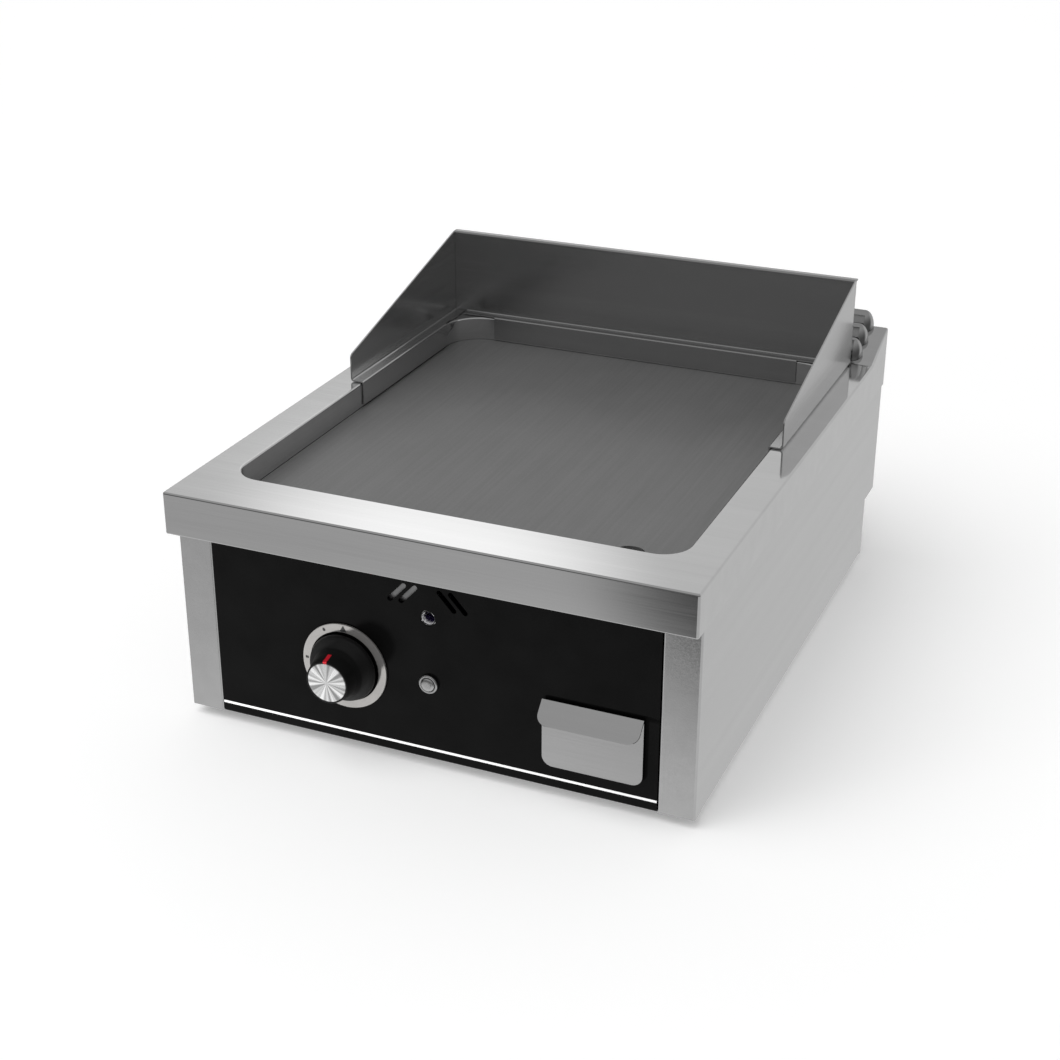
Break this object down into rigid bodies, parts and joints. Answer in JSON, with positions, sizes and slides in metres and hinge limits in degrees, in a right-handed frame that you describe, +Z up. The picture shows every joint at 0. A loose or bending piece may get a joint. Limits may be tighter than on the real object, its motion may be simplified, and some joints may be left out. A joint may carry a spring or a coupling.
{
  "type": "countertop gas griddle",
  "caption": "Countertop gas griddle with a sunk steel plate, splash guard, gas knob, piezo igniter, grease tray and rear flue hoods.",
  "frame": {"origin": "centre of the footprint on the worktop, under the feet", "axes": "+Z up, -Y towards the cook (the front panel), +X to the right as seen from the front"},
  "size_m": [0.4, 0.5138, 0.2612],
  "materials": {
    "brushed_steel": "satin",
    "satin_steel": "satin",
    "griddle_steel": "matte",
    "panel_black": "satin",
    "knob_black": "satin",
    "black_plastic": "matte",
    "bright_metal": "satin",
    "pointer_red": "satin",
    "dial_grey": "satin",
    "brass": "satin",
    "copper": "satin",
    "zinc_sheet": "matte",
    "sight_glass": "gloss",
    "ceramic": "satin",
    "rubber": "matte",
    "cable_red": "satin"
  },
  "bodies": {
    "casing": {"top_deck": "brushed_steel", "left_side_panel": "brushed_steel", "right_side_panel": "brushed_steel", "front_panel": "panel_black", "rear_panel": "satin_steel", "base_panel": "zinc_sheet", "flue_hood_1": "brushed_steel", "flue_hood_2": "brushed_steel", "flue_hood_3": "brushed_steel", "rear_screw_1": "bright_metal", "rear_screw_2": "bright_metal", "rear_screw_3": "bright_metal", "rear_screw_4": "bright_metal", "foot_1": "rubber", "foot_2": "rubber", "foot_3": "rubber", "foot_4": "rubber", "griddle_plate": "griddle_steel", "plate_rail_left": "zinc_sheet", "plate_rail_right": "zinc_sheet", "dial_ring": "dial_grey", "gas_tap_body": "brass", "tap_magnet_unit": "satin_steel", "igniter_bezel": "bright_metal", "igniter_body": "black_plastic", "igniter_nut": "black_plastic", "sight_tube": "bright_metal", "sight_glass": "sight_glass", "inlet_connector": "brass", "inlet_locknut": "brass", "feed_pipe": "copper", "outlet_pipe": "copper", "burner_injector": "brass", "burner": "satin_steel", "air_shutter": "zinc_sheet", "burner_saddle_front": "zinc_sheet", "burner_saddle_rear": "zinc_sheet", "heat_shield": "zinc_sheet", "pilot_pipe": "copper", "pilot_burner": "satin_steel", "pilot_bracket": "zinc_sheet", "thermocouple": "copper", "spark_electrode": "ceramic", "ignition_lead": "cable_red", "drain_chute": "satin_steel", "tray_rail_left": "zinc_sheet", "tray_rail_right": "zinc_sheet"},
    "tap_rotor": {"tap_plug": "brass"},
    "knob_set": {"control_knob": "knob_black", "knob_cap": "bright_metal", "knob_pointer": "pointer_red", "tap_spindle": "satin_steel"},
    "igniter_plunger": {"igniter_button": "bright_metal"},
    "tray": {"grease_tray": "brushed_steel", "tray_front": "brushed_steel"},
    "splash_guard": {"guard_back": "brushed_steel", "guard_left_wing": "brushed_steel", "guard_right_wing": "brushed_steel"}
  },
  "joints": [
    {"name": "tap_turn", "type": "hinge", "parent": "casing", "child": "tap_rotor", "pos_m": [-0.0663, -0.2131, 0.07], "axis": [0, -1, 0], "range_deg": [0, 180]},
    {"name": "knob_push", "type": "slide", "parent": "tap_rotor", "child": "knob_set", "axis": [0, 1, 0], "range_m": [0, 0.003], "stiffness_N_per_m": 800, "springref_m": -0.004},
    {"name": "igniter_push", "type": "slide", "parent": "casing", "child": "igniter_plunger", "axis": [0, 1, 0], "range_m": [0, 0.004], "stiffness_N_per_m": 600, "springref_m": -0.005},
    {"name": "tray_slide", "type": "slide", "parent": "casing", "child": "tray", "axis": [0, -1, 0], "range_m": [0, 0.2]},
    {"name": "guard_lift", "type": "slide", "parent": "casing", "child": "splash_guard", "axis": [0, 0, 1], "range_m": [0, 0.12]}
  ]
}
